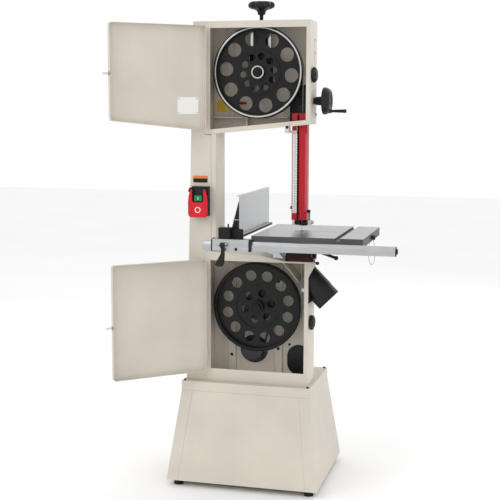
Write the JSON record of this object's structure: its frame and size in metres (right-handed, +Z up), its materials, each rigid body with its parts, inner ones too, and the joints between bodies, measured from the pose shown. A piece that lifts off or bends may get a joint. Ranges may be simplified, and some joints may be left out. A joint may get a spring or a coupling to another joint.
{
  "type": "band saw",
  "caption": "Floor-standing woodworking band saw: steel frame on a flared cabinet stand, two wheels behind open doors, tilting cast table with fence, rise-and-fall guarded blade guides.",
  "frame": {"origin": "on the floor, midway between the four feet", "axes": "+Z up, +X to the operator's right, -Y towards the operator, who faces the open doors and the front rail"},
  "size_m": [1.0766, 0.7057, 1.887],
  "materials": {
    "painted_cream": "gloss",
    "wheel_paint": "satin",
    "tyre_rubber": "matte",
    "black_plastic": "satin",
    "black_paint": "satin",
    "table_iron": "ground",
    "trunnion_paint": "painted",
    "red_casting": "painted",
    "aluminium_rail": "brushed",
    "bright_steel": "turned",
    "blade_steel": "satin",
    "red_paint": "gloss",
    "red_plastic": "gloss",
    "insert_plastic": "satin",
    "green_plastic": "gloss",
    "foot_rubber": "matte",
    "belt_rubber": "matte",
    "motor_paint": "satin",
    "motor_aluminium": "cast",
    "spring_steel": "dark",
    "brush_nylon": "fibrous",
    "cord_steel": "wire"
  },
  "bodies": {
    "frame": {"stand_front_panel": "painted_cream", "stand_rear_panel": "painted_cream", "stand_side_panels": "painted_cream", "stand_top": "painted_cream", "rubber_feet": "foot_rubber", "stand_bolts": "black_paint", "column": "painted_cream", "throat_wall": "painted_cream", "upper_cabinet": "painted_cream", "lower_cabinet": "painted_cream", "lower_bearing_housing": "motor_paint", "blade": "blade_steel", "drive_belt": "belt_rubber", "motor_housing": "motor_aluminium", "motor_fan_cover": "motor_paint", "capacitor_box": "motor_paint", "carriage_slides": "black_paint", "tension_spring": "spring_steel", "post_housing": "black_paint", "lower_blade_guides": "black_paint", "trunnion_bracket": "red_casting", "frame_hinges": "painted_cream", "switch_box": "black_plastic", "rear_dust_port": "black_plastic", "side_dust_port": "black_plastic", "wheel_brush": "brush_nylon"},
    "upper_carriage": {"wheel_carriage": "black_paint"},
    "upper_wheel": {"upper_wheel": "wheel_paint", "upper_tyre": "tyre_rubber", "upper_wheel_bearings": "bright_steel"},
    "lower_wheel": {"lower_wheel": "wheel_paint", "lower_tyre": "tyre_rubber", "lower_shaft": "bright_steel"},
    "motor_rotor": {"motor_pulley": "motor_aluminium"},
    "tension_wheel": {"tension_handwheel": "black_plastic"},
    "tracking_knob": {"tracking_knob": "black_plastic"},
    "guide_post": {"guide_post": "bright_steel", "blade_guard": "red_paint", "upper_blade_guides": "black_paint"},
    "guide_crank": {"guide_handwheel": "black_plastic"},
    "crank_grip": {"crank_grip": "black_plastic"},
    "table": {"table": "table_iron", "table_insert": "insert_plastic", "table_pin": "black_plastic", "table_pin_cord": "cord_steel", "table_trunnions": "trunnion_paint", "front_rail": "aluminium_rail", "rail_end_caps": "black_plastic", "rail_brackets": "aluminium_rail"},
    "table_lock_lever": {"table_lock_lever": "black_plastic"},
    "fence": {"fence_carriage": "aluminium_rail", "fence_plate": "aluminium_rail", "fence_bracket": "black_paint"},
    "fence_cam_lever": {"fence_cam_lever": "black_plastic"},
    "upper_door": {"upper_door": "painted_cream"},
    "lower_door": {"lower_door": "painted_cream"},
    "upper_latch": {"upper_latch_knob": "black_plastic"},
    "lower_latch": {"lower_latch_knob": "black_plastic"},
    "stop_paddle": {"stop_paddle": "red_plastic"},
    "start_button": {"start_button": "green_plastic"}
  },
  "joints": [
    {"name": "carriage_slide", "type": "slide", "parent": "frame", "child": "upper_carriage", "axis": [0, 0, 1], "range_m": [-0.02, 0], "deforming": ["tension_spring"]},
    {"name": "upper_wheel_spin", "type": "hinge", "parent": "upper_carriage", "child": "upper_wheel", "pos_m": [0.025, -0.088, 1.618], "axis": [0, 1, 0], "continuous": true},
    {"name": "lower_wheel_spin", "type": "hinge", "parent": "frame", "child": "lower_wheel", "pos_m": [0.025, -0.088, 0.703], "axis": [0, 1, 0], "continuous": true},
    {"name": "motor_spin", "type": "hinge", "parent": "frame", "child": "motor_rotor", "pos_m": [-0.003, -0.05, 0.52], "axis": [0, 1, 0], "continuous": true},
    {"name": "tension_screw_turn", "type": "hinge", "parent": "frame", "child": "tension_wheel", "pos_m": [0.025, -0.042, 1.87], "axis": [0, 0, 1], "range_deg": [-3600, 0]},
    {"name": "tracking_knob_turn", "type": "hinge", "parent": "upper_carriage", "child": "tracking_knob", "pos_m": [0.025, 0, 1.575], "axis": [0, 1, 0], "range_deg": [-540, 540]},
    {"name": "guide_post_slide", "type": "slide", "parent": "frame", "child": "guide_post", "axis": [0, 0, 1], "range_m": [0, 0.27]},
    {"name": "guide_crank_turn", "type": "hinge", "parent": "frame", "child": "guide_crank", "pos_m": [0.29, -0.0783, 1.509], "axis": [1, 0, 0], "range_deg": [0, 1547]},
    {"name": "crank_grip_spin", "type": "hinge", "parent": "guide_crank", "child": "crank_grip", "pos_m": [0.34, -0.0783, 1.471], "axis": [1, 0, 0], "continuous": true},
    {"name": "table_tilt", "type": "hinge", "parent": "frame", "child": "table", "pos_m": [0.20265, -0.09, 1.01], "axis": [0, 1, 0], "range_deg": [-10, 35]},
    {"name": "table_lock_turn", "type": "hinge", "parent": "table", "child": "table_lock_lever", "pos_m": [0.27265, -0.2, 0.954], "axis": [0, 1, 0], "range_deg": [0, 65]},
    {"name": "fence_slide", "type": "slide", "parent": "table", "child": "fence", "axis": [-1, 0, 0], "range_m": [-0.12, 0.035]},
    {"name": "fence_cam_turn", "type": "hinge", "parent": "fence", "child": "fence_cam_lever", "pos_m": [-0.027, -0.401, 0.985], "axis": [-1, 0, 0], "range_deg": [0, 95]},
    {"name": "upper_door_swing", "type": "hinge", "parent": "frame", "child": "upper_door", "pos_m": [-0.162, -0.163, 1.59], "axis": [0, 0, 1], "range_deg": [-12, 138]},
    {"name": "lower_door_swing", "type": "hinge", "parent": "frame", "child": "lower_door", "pos_m": [-0.162, -0.163, 0.67], "axis": [0, 0, 1], "range_deg": [-12, 138]},
    {"name": "upper_latch_turn", "type": "hinge", "parent": "frame", "child": "upper_latch", "pos_m": [0.25, -0.115, 1.606], "axis": [1, 0, 0], "range_deg": [0, 90]},
    {"name": "lower_latch_turn", "type": "hinge", "parent": "frame", "child": "lower_latch", "pos_m": [0.25, -0.115, 0.658], "axis": [1, 0, 0], "range_deg": [0, 90]},
    {"name": "stop_paddle_press", "type": "hinge", "parent": "frame", "child": "stop_paddle", "pos_m": [-0.1895, -0.186, 1.164], "axis": [1, 0, 0], "range_deg": [0, 3.5], "stiffness_Nm_per_rad": 0.5, "springref_deg": -2.86},
    {"name": "start_button_press", "type": "slide", "parent": "frame", "child": "start_button", "axis": [0, 1, 0], "range_m": [0, 0.003], "stiffness_N_per_m": 400, "springref_m": -0.001}
  ],
  "couplings": [
    {"joint": "upper_wheel_spin", "follows": "lower_wheel_spin", "ratio": 1},
    {"joint": "motor_spin", "follows": "lower_wheel_spin", "ratio": 1.4737},
    {"joint": "tension_screw_turn", "follows": "carriage_slide", "rad_per_m": 3141.6},
    {"joint": "guide_crank_turn", "follows": "guide_post_slide", "rad_per_m": 100}
  ]
}
